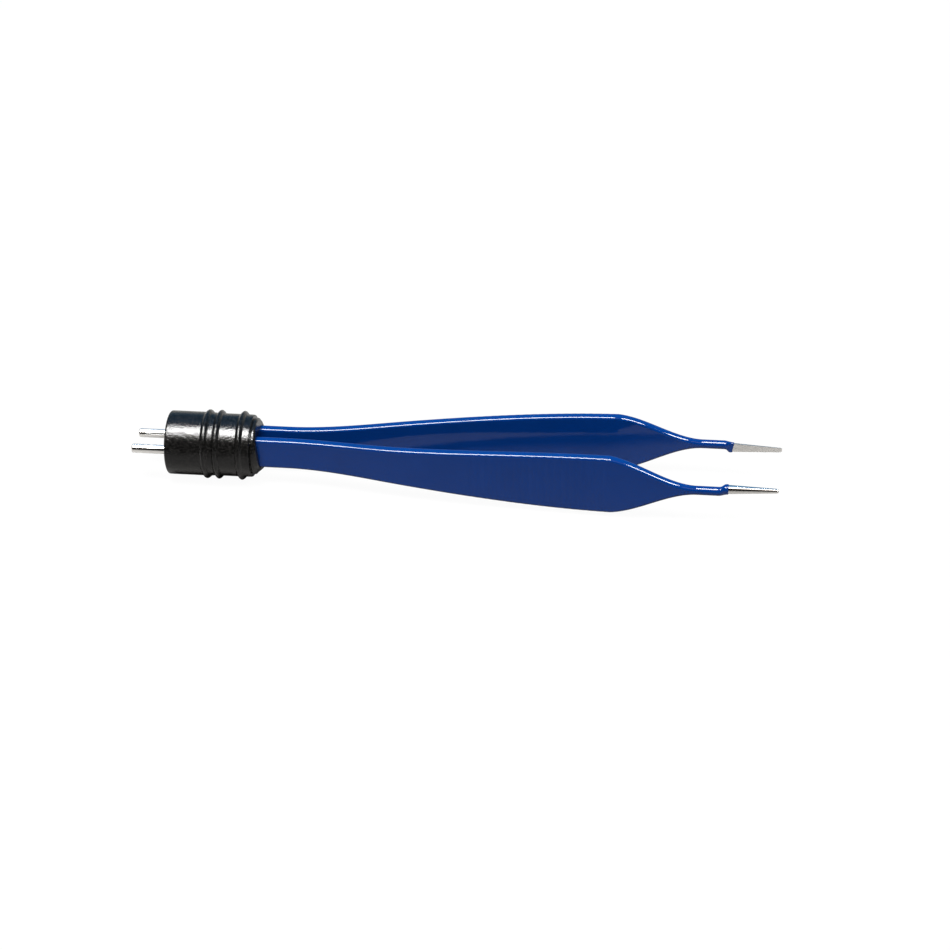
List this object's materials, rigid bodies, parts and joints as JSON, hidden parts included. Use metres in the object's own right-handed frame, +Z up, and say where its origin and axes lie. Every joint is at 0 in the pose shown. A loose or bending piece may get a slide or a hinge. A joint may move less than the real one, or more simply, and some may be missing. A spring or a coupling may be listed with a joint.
{
  "type": "forceps",
  "caption": "Spring forceps with bowed insulated blades that close to slim bare tips, held side by side in a ringed plug with rear contact pins.",
  "frame": {"origin": "centre of the plug's rear face, on the plug's axis", "axes": "+X from the plug to the tips, +Y from the near blade to the far blade, +Z up while the forceps lie on their side"},
  "size_m": [0.124, 0.02, 0.0132],
  "materials": {
    "housing_plastic": "glossy moulded, faint grain",
    "carrier_plastic": "plain moulded",
    "pin_metal": "bright plated",
    "rivet_steel": "plain",
    "blade_steel": "satin",
    "coat_plastic": "satin dip coat"
  },
  "bodies": {
    "plug": {"plug_housing": "housing_plastic", "pin_carrier": "carrier_plastic", "tang_spacer": "carrier_plastic", "near_contact_pin": "pin_metal", "far_contact_pin": "pin_metal", "near_tang_rivet": "rivet_steel", "far_tang_rivet": "rivet_steel"},
    "near_arm": {"near_blade": "blade_steel", "near_coat": "coat_plastic"},
    "far_arm": {"far_blade": "blade_steel", "far_coat": "coat_plastic"}
  },
  "joints": [
    {"name": "near_flex", "type": "hinge", "parent": "plug", "child": "near_arm", "pos_m": [0.0065, -0.00234, 0], "axis": [0, 0, 1], "range_deg": [0, 4.12], "stiffness_Nm_per_rad": 1.5},
    {"name": "far_flex", "type": "hinge", "parent": "plug", "child": "far_arm", "pos_m": [0.0065, 0.00234, 0], "axis": [0, 0, -1], "range_deg": [0, 4.12], "stiffness_Nm_per_rad": 1.5}
  ]
}
